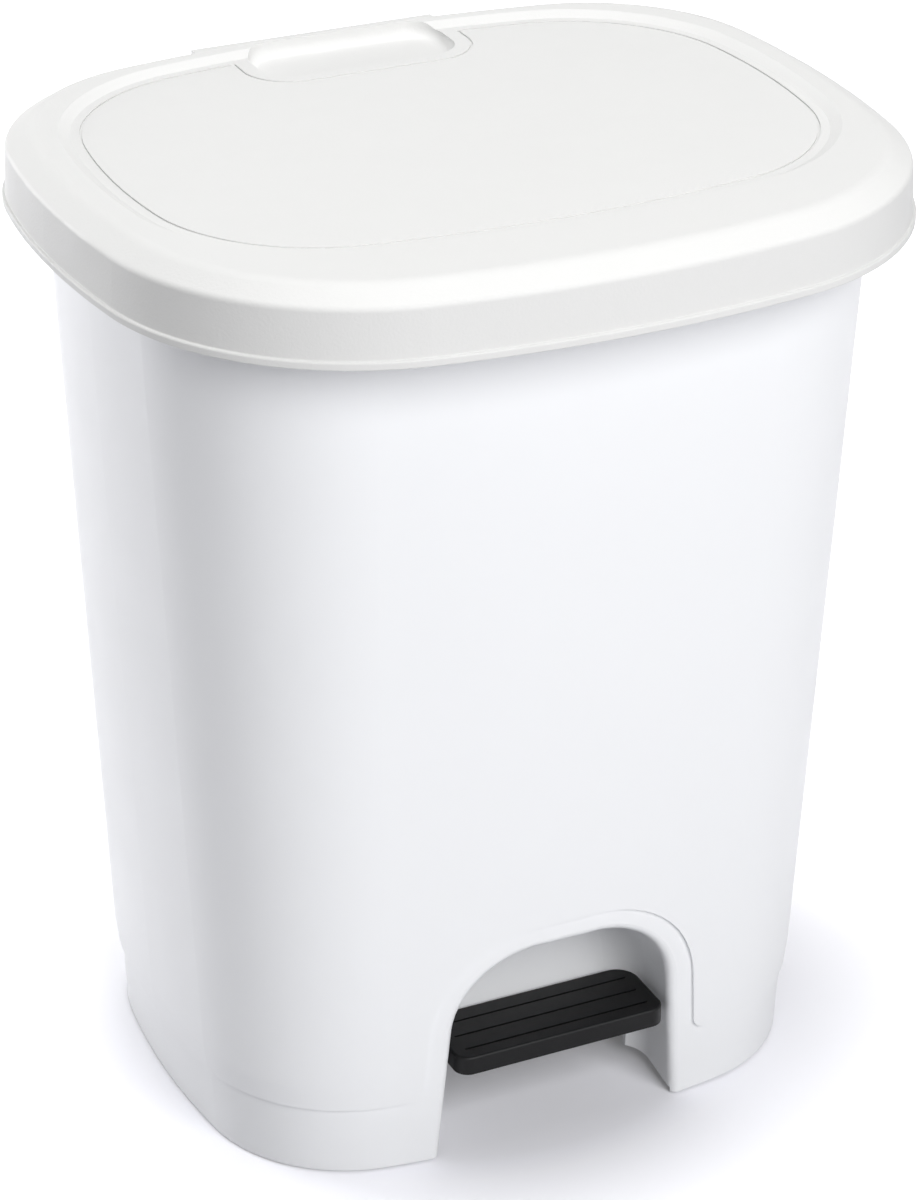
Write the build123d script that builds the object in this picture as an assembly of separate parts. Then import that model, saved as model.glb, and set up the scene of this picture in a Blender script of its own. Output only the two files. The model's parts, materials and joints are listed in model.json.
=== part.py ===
"""Pedal trash can: a white tub whose lid is lifted by a black pedal through a lever, a rod and a crank.

Millimetres. +Z is up, the front of the can looks towards -Y, and the origin is the middle of the
overall box at floor level.
"""
import os
from math import asin, cos, degrees, radians, sin, tan

from build123d import *

# Overall sizes
OVERALL_WIDTH = 374.0
OVERALL_DEPTH = 328.0
OVERALL_HEIGHT = 450.0

# Walls and clearances
WALL = 2.4
RUN = 0.05            # radial play of a turning or sliding fit
SIDE_PLAY = 0.4       # end play beside a moving piece
SKIN = 0.1            # play between a fixed piece and the curved wall it sits on
PUSH_PLAY = 0.6       # free travel between the pusher and the crank pin
CUT = 1.0             # how far a cutter runs past the face it opens

# Oval outlines: front and back arcs and side arcs span these half angles
FRONT_ARC = radians(9.0)
SIDE_ARC = radians(8.0)

# Lid
HOOD_REACH = 10.0
LID_HALF_WIDTH = OVERALL_WIDTH / 2
LID_HALF_DEPTH = (OVERALL_DEPTH - HOOD_REACH) / 2
LID_CORNER = 117.0
LID_BACK_CORNER = 94.0
LID_WIDE_SHIFT = 15.3   # how far behind its middle the lid is widest
LID_CENTRE_Y = -HOOD_REACH / 2
LID_FRONT = LID_CENTRE_Y - LID_HALF_DEPTH
LID_BACK = LID_CENTRE_Y + LID_HALF_DEPTH
LID_HEIGHT = 32.0
LID_BOTTOM = OVERALL_HEIGHT - LID_HEIGHT
BEAD_HEIGHT = 3.5
BEAD_STEP = 1.4
SKIRT_DRAFT = 1.0
SHOULDER_Z = OVERALL_HEIGHT - 7.0
RIDGE_INSET = 13.4
LID_RING = 40.0
LID_UNDER = OVERALL_HEIGHT - WALL

# Sunk panel on the lid, with a wider border in front
PANEL_SIDE_MARGIN = 32.0
PANEL_FRONT = LID_FRONT + 58.6
PANEL_BACK = LID_BACK - 29.2
PANEL_HALF_WIDTH = LID_HALF_WIDTH - PANEL_SIDE_MARGIN
PANEL_HALF_DEPTH = (PANEL_BACK - PANEL_FRONT) / 2
PANEL_CORNER = 78.0
PANEL_CENTRE_Y = (PANEL_BACK + PANEL_FRONT) / 2
PANEL_DROP = 2.6
PANEL_LEDGE = 4.0
PANEL_SLOPE = 5.0
GROOVE_WIDTH = 1.2
GROOVE_DEPTH = 0.8
PANEL_Z = OVERALL_HEIGHT - PANEL_DROP

# Finger recess near the hinge
RECESS_WIDTH = 95.0
RECESS_LENGTH = 40.0
RECESS_CORNER = 15.0
RECESS_DROP = 7.0
RECESS_FLOOR_RADIUS = 4.5
RECESS_CENTRE_Y = LID_BACK - 18.0 - RECESS_LENGTH / 2
RECESS_MARGIN = 7.0

# Tub: the rim lies inside the lid, and the wall leans in from the rim to the base
RIM_Z = OVERALL_HEIGHT - 10.0
RIM_FRONT = LID_FRONT + 31.6
RIM_BACK = LID_BACK - 17.1
RIM_HALF_WIDTH = LID_HALF_WIDTH - 15.2
RIM_HALF_DEPTH = (RIM_BACK - RIM_FRONT) / 2
RIM_CENTRE_Y = (RIM_BACK + RIM_FRONT) / 2
RIM_CORNER = 88.0
BASE_FRONT = RIM_FRONT + 21.0
BASE_BACK = RIM_BACK - 1.4
BASE_HALF_WIDTH = RIM_HALF_WIDTH - 22.3
BASE_HALF_DEPTH = (BASE_BACK - BASE_FRONT) / 2
BASE_CENTRE_Y = (BASE_BACK + BASE_FRONT) / 2
BASE_CORNER = 72.0
FOOT_GAP = 1.0
PANEL_STEP = 1.7
SIDE_STEP = 1.0
PLINTH_Z = 36.0
PLINTH_BLEND = 12.0
FLOOR_Z = 60.0
FLOOR_THICK = 2.5
FLOOR_TOP = FLOOR_Z + FLOOR_THICK
STEP_END_Z = 126.0
STEP_BLEND = 10.0
FLANGE_INSET = 8.0
LIP_DROP = 12.0
GUSSET_THICK = 2.6
GUSSET_DROP = 14.0
GUSSET_TURN = 65.0
CHANNEL_TOP = RIM_Z - 10.0

# Pedal arch
ARCH_HALF_BASE = 59.0
ARCH_HALF_TOP = 51.0
ARCH_TOP_Z = 105.8
ARCH_RADIUS = 41.0
ARCH_BAND = 12.0
ARCH_EDGE_RADIUS = 4.0
BAND_FILLET = 6.0
POCKET_BACK_Y = BASE_FRONT + 41.0
POCKET_BACK_LOW = 50.0
POCKET_RADIUS = 14.0
POCKET_SIDE_LOW = 3.5
POCKET_SIDE_RISE = 7.0

# Hinge
PIN_RADIUS = 2.5
KNUCKLE_RADIUS = 6.0
HOOD_HALF_WIDTH = 60.0
HOOD_TOP = OVERALL_HEIGHT - 8.0
HOOD_BOTTOM = LID_BOTTOM + 6.0
HOOD_EDGE_RADIUS = 2.2
HINGE_Y = OVERALL_DEPTH / 2 - WALL - KNUCKLE_RADIUS - 1.6
HINGE_Z = LID_BOTTOM + 3.5
BARREL_INNER = 48.0
BARREL_OUTER = HOOD_HALF_WIDTH - WALL
EAR_INNER = 29.0
EAR_OUTER = BARREL_INNER - SIDE_PLAY
EAR_PLATE_OUTER = 62.0
EAR_PLATE_THICK = 4.0
EAR_PLATE_TOP = LID_BOTTOM - 6.0
EAR_PLATE_HEIGHT = 46.0

# Lid travel and the crank
LID_ANGLE = 75.0
CRANK_RADIUS = 27.0
CRANK_PIN_RADIUS = 3.0
CRANK_HALF = 8.5
CHEEK_INNER = 5.0
CRANK_PLATE_HALF = 17.0
CRANK_PLATE_THICK = 4.0
HALF_SWING = radians(LID_ANGLE / 2)
ROD_TRAVEL = 2 * CRANK_RADIUS * sin(HALF_SWING)
CRANK_PIN_Y = HINGE_Y - CRANK_RADIUS * cos(HALF_SWING)
CRANK_PIN_Z = HINGE_Z - CRANK_RADIUS * sin(HALF_SWING)

# Push rod and the channel it runs in
ROD_RADIUS = 2.5
ROD_Y = (HINGE_Y - CRANK_RADIUS + CRANK_PIN_Y) / 2
CHANNEL_HALF = 26.0
CHANNEL_Y = ROD_Y - 12.8
PUSHER_TOP = CRANK_PIN_Z - CRANK_PIN_RADIUS - PUSH_PLAY
PUSHER_HALF_LENGTH = 8.0
PUSHER_THICK = 4.0
COLLAR_RADIUS = 5.0
COLLAR_HEIGHT = 12.0
ROD_FOOT_RADIUS = 5.5
ROD_FOOT_HEIGHT = 16.0
ROD_FOOT_WEB = 4.0
GUIDE_HALF = 9.0
GUIDE_FLANGE_HALF = 20.0
GUIDE_HEIGHT = 12.0
GUIDE_FLANGE_THICK = 3.0
GUIDE_BACK = ROD_Y + 6.0
LOWER_GUIDE_Z = 112.0
UPPER_GUIDE_Z = RIM_Z - 110.0
GUIDE_SCREW_X = 14.5

# Pedal lever
AXLE_Y = BASE_CENTRE_Y + 0.95
AXLE_Z = 30.0
AXLE_RADIUS = 3.0
REAR_ARM = ROD_Y - AXLE_Y
HALF_TILT = asin(ROD_TRAVEL / 2 / REAR_ARM)
TIP_RADIUS = 5.0
TIP_PLAY = 0.4
TIP_Z = AXLE_Z - ROD_TRAVEL / 2
ROD_FOOT_BOTTOM = TIP_Z + TIP_RADIUS + TIP_PLAY
LEVER_HALF = 17.0
LEVER_HALF_THICK = 4.0
LEVER_HUB_RADIUS = 9.0
LEVER_HUB_HALF = 36.0
BUSH_RADIUS = 4.5
BUSH_FLANGE_RADIUS = 7.5
BUSH_FLANGE = 1.0
BUSH_LENGTH = 14.0
BLOCK_THICK = 12.0
BLOCK_HALF = 9.0
BLOCK_FLANGE_HALF = 25.0
BLOCK_FLANGE_THICK = 4.0
BLOCK_SCREW_Y = 18.0
BLOCK_INNER = LEVER_HUB_HALF + BUSH_FLANGE + SIDE_PLAY
BLOCK_OUTER = BLOCK_INNER + BLOCK_THICK
CLIP_RADIUS = 6.0
CLIP_THICK = 1.2
AXLE_HALF = BLOCK_OUTER + CLIP_THICK + 2.0

# Pedal tread
TREAD_TOP = 55.0
TREAD_THICK = 9.0
TREAD_HALF_WIDTH = 52.0
TREAD_FRONT = BASE_FRONT - 1.0
TREAD_BACK = POCKET_BACK_Y - 3.0
TREAD_FRONT_RADIUS = 7.0
TREAD_BACK_RADIUS = 11.0
TREAD_EDGE = 1.2
TREAD_GROOVES = 3
TREAD_GROOVE_WIDTH = 1.2
TREAD_GROOVE_DEPTH = 0.8
TREAD_GROOVE_FRONT = 7.5
TREAD_GROOVE_BACK = 9.5
TREAD_GROOVE_SIDE = 6.0
TREAD_BOTTOM = TREAD_TOP - TREAD_THICK
TREAD_LENGTH = TREAD_BACK - TREAD_FRONT
TREAD_SCREW_X = 24.0
LEVER_PAD_HALF = 38.0
LEVER_PAD_THICK = 5.0
LEVER_PAD_INSET = 11.0

# Screws, feet and bumpers
SCREW_RADIUS = 1.75
SCREW_HEAD_RADIUS = 3.3
SCREW_HEAD_HEIGHT = 2.3
FOOT_RADIUS = 8.0
FOOT_HEIGHT = 4.0
FOOT_STEM_RADIUS = 3.0
FOOT_STEM = 6.0
FOOT_POST_RADIUS = 9.5
FOOT_X = BASE_HALF_WIDTH - 43.5
FOOT_Y = BASE_HALF_DEPTH - 45.45
BUMPER_RADIUS = 2.5
BUMPER_PLAY = 0.3


class HalfOval:
    """Half of an outline, measured from its widest line: a side arc, a corner arc and an end arc on each side."""

    def __init__(self, half_width, depth, corner):
        self.half_width = half_width
        self.depth = depth
        self.corner = corner
        right = half_width + corner * (sin(FRONT_ARC) - cos(SIDE_ARC))
        front = depth + corner * (sin(SIDE_ARC) - cos(FRONT_ARC))
        a, b = sin(FRONT_ARC), 1 - cos(SIDE_ARC)
        c, d = 1 - cos(FRONT_ARC), sin(SIDE_ARC)
        self.end_radius = (right * d - b * front) / (a * d - b * c)
        self.side_radius = (a * front - c * right) / (a * d - b * c)

    def corner_centre(self):
        """Centre of the right-hand corner arc."""
        x = (self.end_radius - self.corner) * sin(FRONT_ARC)
        y = self.depth - self.end_radius * (1 - cos(FRONT_ARC)) - self.corner * cos(FRONT_ARC)
        return x, y

    def corner_point(self, inset):
        """Point on the corner's middle line, inset from the outline."""
        x, y = self.corner_centre()
        middle = (radians(90) - FRONT_ARC + SIDE_ARC) / 2
        reach = self.corner - inset
        return x + reach * cos(middle), y + reach * sin(middle)

    def end_point(self, angle):
        """Point on the end arc, turned by angle from its middle."""
        return self.end_radius * sin(angle), self.depth - self.end_radius * (1 - cos(angle))

    def side_point(self, angle):
        """Point on the side arc, turned by angle from the widest line."""
        return self.half_width - self.side_radius * (1 - cos(angle)), self.side_radius * sin(angle)


class Oval:
    """A rounded outline of tangent arcs, flat at the front, back and sides, with a front and a back half."""

    def __init__(self, half_width, half_depth, corner, centre_y, back_corner=None, wide_shift=0.0):
        self.half_width = half_width
        self.half_depth = half_depth
        self.corner = corner
        self.centre_y = centre_y
        self.back_corner = corner if back_corner is None else back_corner
        self.wide_shift = wide_shift
        self.wide_y = centre_y + wide_shift
        self.front = HalfOval(half_width, half_depth + wide_shift, corner)
        self.back = HalfOval(half_width, half_depth - wide_shift, self.back_corner)

    def grown(self, amount, side_extra=0.0):
        """The parallel outline that lies outside this one by amount (inside, when negative)."""
        return Oval(
            self.half_width + amount + side_extra,
            self.half_depth + amount,
            self.corner + amount,
            self.centre_y,
            self.back_corner + amount,
            self.wide_shift,
        )

    def corner_point(self, inset, side, end):
        """Point on a corner's middle line, inset from the outline, in the quarter of the given signs."""
        x, y = (self.back if end > 0 else self.front).corner_point(inset)
        return side * x, self.wide_y + end * y

    def wire(self, z):
        """The closed outline at height z, starting at the middle of the back."""

        def marks(side, end):
            """Points along one quarter, from the middle of the end to the widest line."""
            half = self.back if end > 0 else self.front
            points = [half.end_point(FRONT_ARC * share) for share in (0, 0.5, 1)]
            points.append(half.corner_point(0))
            points += [half.side_point(SIDE_ARC * share) for share in (1, 0.5, 0)]
            return [(side * x, self.wide_y + end * y, z) for x, y in points]

        back_left, front_left = marks(-1, 1), marks(-1, -1)
        back_right, front_right = marks(1, 1), marks(1, -1)
        arcs = [back_left[0:3], back_left[2:5], back_left[4:7]]
        arcs += [front_left[6:3:-1], front_left[4:1:-1]]
        arcs += [[front_left[2], front_left[0], front_right[2]]]
        arcs += [front_right[2:5], front_right[4:7]]
        arcs += [back_right[6:3:-1], back_right[4:1:-1], back_right[2::-1]]
        return Wire([ThreePointArc(*arc).edge() for arc in arcs])

    def face(self, z):
        return Face(self.wire(z))

    def slab(self, low, high):
        """The outline carried straight up from low to high."""
        return extrude(self.face(low), high - low, dir=(0, 0, 1))


LID_OVAL = Oval(LID_HALF_WIDTH, LID_HALF_DEPTH, LID_CORNER, LID_CENTRE_Y, LID_BACK_CORNER, LID_WIDE_SHIFT)
PANEL_OVAL = Oval(PANEL_HALF_WIDTH, PANEL_HALF_DEPTH, PANEL_CORNER, PANEL_CENTRE_Y)
RIM_OVAL = Oval(RIM_HALF_WIDTH, RIM_HALF_DEPTH, RIM_CORNER, RIM_CENTRE_Y)
FLANGE_OVAL = LID_OVAL.grown(-FLANGE_INSET)


def tub_oval(z):
    """The tub's outer outline at height z: it widens evenly from the base to the rim."""
    share = z / RIM_Z

    def between(low, high):
        return low + (high - low) * share

    return Oval(
        between(BASE_HALF_WIDTH, RIM_HALF_WIDTH),
        between(BASE_HALF_DEPTH, RIM_HALF_DEPTH),
        between(BASE_CORNER, RIM_CORNER),
        between(BASE_CENTRE_Y, RIM_CENTRE_Y),
    )


def tub_loft(low, high, inset_low, inset_high=None, side_low=0.0, side_high=0.0):
    """The tub's form between two heights, inset from its outer face."""
    if inset_high is None:
        inset_high = inset_low
    bottom = tub_oval(low).grown(-inset_low, -side_low).face(low)
    top = tub_oval(high).grown(-inset_high, -side_high).face(high)
    return loft([bottom, top], ruled=True)


def block(x0, x1, y0, y1, z0, z1):
    """A plain box between two corners."""
    return Pos((x0 + x1) / 2, (y0 + y1) / 2, (z0 + z1) / 2) * Box(x1 - x0, y1 - y0, z1 - z0)


def bar_x(radius, x0, x1, y, z):
    """A round bar that lies along X."""
    return Pos((x0 + x1) / 2, y, z) * Rot(0, 90, 0) * Cylinder(radius, x1 - x0)


def bar_y(radius, y0, y1, x, z):
    """A round bar that lies along Y."""
    return Pos(x, (y0 + y1) / 2, z) * Rot(90, 0, 0) * Cylinder(radius, y1 - y0)


def bar_z(radius, z0, z1, x, y):
    """A round bar that stands along Z."""
    return Pos(x, y, (z0 + z1) / 2) * Cylinder(radius, z1 - z0)


def side_prism(points, x0, x1):
    """A side view given as (y, z) points, made thick along X."""
    face = Plane.YZ.offset(x0) * make_face(Polyline(*points, close=True))
    return extrude(face, x1 - x0, dir=(1, 0, 0))


def side_link(y0, z0, r0, y1, z1, r1, x0, x1):
    """Two round ends joined by a straight web, made thick along X."""
    ends = Pos(y0, z0) * Circle(r0) + Pos(y1, z1) * Circle(r1)
    outline = make_hull(ends.edges())
    return extrude(Plane.YZ.offset(x0) * outline, x1 - x0, dir=(1, 0, 0))


def joined(shapes):
    """All the shapes as one shape."""
    total = Part()
    for shape in shapes:
        total += shape
    return total


def mirrored(shape):
    """The same shape on the other side of the middle plane."""
    return mirror(shape, about=Plane.YZ)


def arch_face(grow, bottom):
    """The pedal arch seen from the front, grown outwards, down to the height bottom."""
    lean = (ARCH_HALF_BASE - ARCH_HALF_TOP) / ARCH_TOP_Z
    half_bottom = ARCH_HALF_BASE + grow - lean * bottom
    half_top = ARCH_HALF_TOP + grow
    top = ARCH_TOP_Z + grow
    line = FilletPolyline(
        (-half_bottom, bottom),
        (-half_top, top),
        (half_top, top),
        (half_bottom, bottom),
        radius=[0, ARCH_RADIUS + grow, ARCH_RADIUS + grow, 0],
        close=True,
    )
    return make_face(line)


def front_prism(face, y0, y1):
    """A front view (x, z) made thick along Y from y0 to y1."""
    return extrude(Plane.XZ.offset(-y0) * face, y1 - y0, dir=(0, 1, 0))


def plinth_band():
    """Front view of the sunk plinth and the sunk band round the arch."""
    reach = 2 * BASE_HALF_WIDTH
    strip = Pos(0, PLINTH_Z / 2 - CUT) * Rectangle(reach, PLINTH_Z + 2 * CUT)
    band = strip + arch_face(ARCH_BAND, -CUT)
    inner = [v for v in band.vertices() if abs(v.Y - PLINTH_Z) < 1e-3 and abs(v.X) < reach / 2 - 1]
    return fillet(inner, BAND_FILLET)


def tub_outer():
    """The tub as a solid form: a core with the proud panels on it."""
    core = tub_loft(FOOT_GAP, PLINTH_Z, PANEL_STEP, side_low=SIDE_STEP, side_high=SIDE_STEP)
    core += tub_loft(PLINTH_Z, PLINTH_Z + PLINTH_BLEND, PANEL_STEP, side_low=SIDE_STEP)
    core += tub_loft(PLINTH_Z + PLINTH_BLEND, RIM_Z, PANEL_STEP)
    panel = tub_loft(PLINTH_Z, PLINTH_Z + PLINTH_BLEND, 0, side_low=SIDE_STEP)
    panel += tub_loft(PLINTH_Z + PLINTH_BLEND, RIM_Z, 0)
    panel -= front_prism(plinth_band(), -OVERALL_DEPTH, 0)
    return core + panel


def pocket_form(grow, back_y, radius, bottom):
    """The pedal pocket: the arch carried inwards, with a rounded back."""
    form = front_prism(arch_face(grow, bottom), -OVERALL_DEPTH / 2, back_y)
    rear = [e for e in form.edges() if abs(e.center().Y - back_y) < 1e-3 and e.center().Z > bottom + 1]
    return fillet(rear, radius)


def arch_edges(tub):
    """The edges of the arch's mouth on the front of the tub."""
    mouth = arch_face(0, -CUT).face().outer_wire()
    found = []
    for edge in tub.edges():
        middle = edge.center()
        if middle.Y > TREAD_FRONT + 8.0 or middle.Z < FOOT_GAP + 1e-3:
            continue
        if mouth.distance_to(Vector(middle.X, middle.Z, 0)) < 0.01 and edge.length > 5.0:
            found.append(edge)
    return found


def rim_flange():
    """The outward flange and its turned-down lip, left open behind for the hinge."""
    low = RIM_Z - LIP_DROP
    ring = FLANGE_OVAL.slab(RIM_Z - WALL, RIM_Z)
    ring -= RIM_OVAL.grown(-WALL / 2).slab(RIM_Z - WALL - CUT, RIM_Z + CUT)
    lip = FLANGE_OVAL.slab(low, RIM_Z) - FLANGE_OVAL.grown(-WALL).slab(low - CUT, RIM_Z + CUT)
    gap_half = HOOD_HALF_WIDTH + 6.0
    gap = block(-gap_half, gap_half, 0, OVERALL_DEPTH, low - CUT, RIM_Z + CUT)
    return ring + lip - gap


def gusset(side, end):
    """A triangular rib that runs from the wall out to the lip, near one corner."""
    x, y = RIM_OVAL.back.corner_centre()
    overhang = RIM_FRONT - LID_FRONT if end < 0 else LID_BACK - RIM_BACK
    inner = RIM_OVAL.corner - WALL
    outer = inner + WALL + overhang
    low = RIM_Z - LIP_DROP
    points = [
        (inner, RIM_Z - WALL / 2),
        (outer, RIM_Z - WALL / 2),
        (outer, low),
        (inner, low - GUSSET_DROP),
    ]
    rib = extrude(Plane.XZ * make_face(Polyline(*points, close=True)), GUSSET_THICK / 2, both=True)
    rib = Pos(x, y, 0) * Rot(0, 0, GUSSET_TURN) * rib
    if side < 0:
        rib = mirror(rib, about=Plane.YZ)
    if end < 0:
        rib = mirror(rib, about=Plane.XZ)
    rib = Pos(0, RIM_CENTRE_Y, 0) * rib
    return rib & FLANGE_OVAL.grown(-WALL / 2).slab(low - GUSSET_DROP - CUT, RIM_Z)


def quarters():
    """The signs of the four quarters."""
    return [(side, end) for side in (-1, 1) for end in (-1, 1)]


def foot_places():
    return [(side * FOOT_X, BASE_CENTRE_Y + end * FOOT_Y) for side, end in quarters()]


def hinge_screw_places():
    """(x, z) of the hinge screws on the back wall."""
    x = (EAR_OUTER + EAR_PLATE_OUTER) / 2
    low = EAR_PLATE_TOP - EAR_PLATE_HEIGHT + 9.0
    high = EAR_PLATE_TOP - 9.0
    return [(side * x, z) for side in (-1, 1) for z in (low, high)]


def guide_screw_places():
    """(x, z) of the guide screws on the channel's wall."""
    heights = [LOWER_GUIDE_Z + GUIDE_HEIGHT / 2, UPPER_GUIDE_Z + GUIDE_HEIGHT / 2]
    return [(side * GUIDE_SCREW_X, z) for side in (-1, 1) for z in heights]


def bearing_screw_places():
    """(x, y) of the bearing screws under the floor."""
    x = (BLOCK_INNER + BLOCK_OUTER) / 2
    return [(side * x, AXLE_Y + end * BLOCK_SCREW_Y) for side, end in quarters()]


def tread_screw_places():
    y = (TREAD_FRONT + TREAD_BACK) / 2
    return [(side * TREAD_SCREW_X, y) for side in (-1, 1)]


def crank_screw_places():
    x = (CRANK_HALF + CRANK_PLATE_HALF) / 2 - 0.4
    return [(side * x, HINGE_Y - 1.0) for side in (-1, 1)]


def hinge_screw_end():
    """How far in along Y the hinge screws reach: just through the back wall."""
    return hinge_plate_back() - EAR_PLATE_THICK - WALL - 3.0


def hinge_plate_back():
    """Y of the flat outer face of the hinge ears' plates."""
    return RIM_BACK + EAR_PLATE_THICK


def make_tub():
    """The moulded tub with its raised floor, pedal pocket, rod channel, rim and foot posts."""
    tub = tub_outer()
    sunk = PANEL_STEP + WALL
    low = tub_loft(-CUT, PLINTH_Z, sunk, side_low=SIDE_STEP, side_high=SIDE_STEP)
    low += tub_loft(PLINTH_Z, PLINTH_Z + PLINTH_BLEND, sunk, side_low=SIDE_STEP)
    low += tub_loft(PLINTH_Z + PLINTH_BLEND, FLOOR_Z, sunk)
    tub -= low
    upper = tub_loft(FLOOR_TOP, STEP_END_Z, sunk)
    upper += tub_loft(STEP_END_Z, STEP_END_Z + STEP_BLEND, sunk, WALL)
    upper += tub_loft(STEP_END_Z + STEP_BLEND, RIM_Z + CUT, WALL)
    tub -= upper

    inside = tub_loft(FOOT_GAP, FLOOR_TOP, sunk - WALL / 2, side_low=SIDE_STEP)
    inside += tub_loft(FLOOR_TOP, RIM_Z, sunk - WALL / 2, WALL / 2)
    pocket_wall = pocket_form(WALL, POCKET_BACK_Y + WALL, POCKET_RADIUS + WALL, -CUT) & inside
    ramp = [
        (TREAD_FRONT + 8.0, -2 * CUT),
        (TREAD_FRONT + 8.0, POCKET_SIDE_LOW),
        (POCKET_BACK_Y + WALL + CUT, POCKET_SIDE_LOW + POCKET_SIDE_RISE),
        (POCKET_BACK_Y + WALL + CUT, -2 * CUT),
    ]
    pocket_wall -= side_prism(ramp, -OVERALL_WIDTH / 2, OVERALL_WIDTH / 2)
    tub += pocket_wall
    tub -= pocket_form(0, POCKET_BACK_Y, POCKET_RADIUS, -2 * CUT)
    under_half = ARCH_HALF_TOP + 1.0
    tub -= block(-under_half, under_half, POCKET_BACK_Y - POCKET_RADIUS - CUT, POCKET_BACK_Y + 2 * WALL,
                 -CUT, POCKET_BACK_LOW)
    tub = fillet(arch_edges(tub), ARCH_EDGE_RADIUS)

    channel_wall = block(-CHANNEL_HALF - WALL, CHANNEL_HALF + WALL, CHANNEL_Y - WALL, OVERALL_DEPTH / 2,
                         FLOOR_Z, CHANNEL_TOP)
    tub += channel_wall & tub_loft(FLOOR_Z, RIM_Z, WALL / 2)
    tub -= block(-CHANNEL_HALF, CHANNEL_HALF, CHANNEL_Y, OVERALL_DEPTH, -CUT, RIM_Z + CUT)

    tub += rim_flange()
    for side, end in quarters():
        tub += gusset(side, end)
    for x, y in foot_places():
        tub += bar_z(FOOT_POST_RADIUS, FOOT_HEIGHT, FLOOR_Z + FLOOR_THICK / 2, x, y)
        tub -= bar_z(FOOT_STEM_RADIUS, FOOT_HEIGHT - CUT, FOOT_HEIGHT + FOOT_STEM, x, y)
    for x, y in bearing_screw_places():
        tub -= bar_z(SCREW_RADIUS, FLOOR_Z - CUT, FLOOR_Z + FLOOR_THICK - 0.5, x, y)
    for x, z in hinge_screw_places():
        tub -= bar_y(SCREW_RADIUS, hinge_screw_end() - CUT, hinge_plate_back(), x, z)
    for x, z in guide_screw_places():
        tub -= bar_y(SCREW_RADIUS, CHANNEL_Y - WALL - CUT, CHANNEL_Y + CUT, x, z)
    return tub


def lid_profile():
    """Section through the lid's edge, as (inset from the outline, z), drawn at the back of the lid."""
    bead_top = LID_BOTTOM + BEAD_HEIGHT
    skirt_top = BEAD_STEP + SKIRT_DRAFT
    corners = [
        (0.0, LID_BOTTOM, 0.6),
        (0.0, bead_top, 0.9),
        (BEAD_STEP, bead_top, 0.6),
        (skirt_top, SHOULDER_Z, 3.2),
        (RIDGE_INSET, OVERALL_HEIGHT, 9.0),
        (LID_RING, OVERALL_HEIGHT, 0),
        (LID_RING, LID_UNDER, 0),
        (RIDGE_INSET + 0.8, LID_UNDER, 3.0),
        (skirt_top + WALL, SHOULDER_Z - 1.2, 1.5),
        (BEAD_STEP + WALL, LID_BOTTOM, 0.6),
    ]
    points = [(LID_BACK - inset, z) for inset, z, _ in corners]
    line = FilletPolyline(*points, radius=[r for _, _, r in corners], close=True)
    return Plane.YZ * make_face(line)


def recess_face(grow):
    """Top view of the finger recess."""
    outline = RectangleRounded(RECESS_WIDTH + 2 * grow, RECESS_LENGTH + 2 * grow, RECESS_CORNER + grow)
    return Pos(0, RECESS_CENTRE_Y) * outline


def recess_cut(grow, floor_z, top_z, radius):
    """The finger recess as a solid with a rounded floor edge."""
    form = extrude(Pos(0, 0, floor_z) * recess_face(grow), top_z - floor_z)
    rim = [e for e in form.edges() if abs(e.center().Z - floor_z) < 1e-3]
    return fillet(rim, radius)


def panel_groove():
    """The fine groove round the sunk panel, which passes in front of the finger recess."""
    keep_out = extrude(Pos(0, 0, PANEL_Z - GROOVE_DEPTH) * recess_face(RECESS_MARGIN), PANEL_DROP + CUT)
    keep_in = extrude(
        Pos(0, 0, PANEL_Z - GROOVE_DEPTH) * recess_face(RECESS_MARGIN + GROOVE_WIDTH), PANEL_DROP + CUT
    )
    outside = PANEL_OVAL.slab(PANEL_Z - GROOVE_DEPTH, PANEL_Z + CUT) - keep_out
    inside = PANEL_OVAL.grown(-GROOVE_WIDTH).slab(PANEL_Z - GROOVE_DEPTH, PANEL_Z + CUT) - keep_in
    return outside - inside


def panel_crest():
    """The top outline of the slope round the sunk panel."""
    return PANEL_OVAL.grown(PANEL_LEDGE + PANEL_SLOPE)


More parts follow.
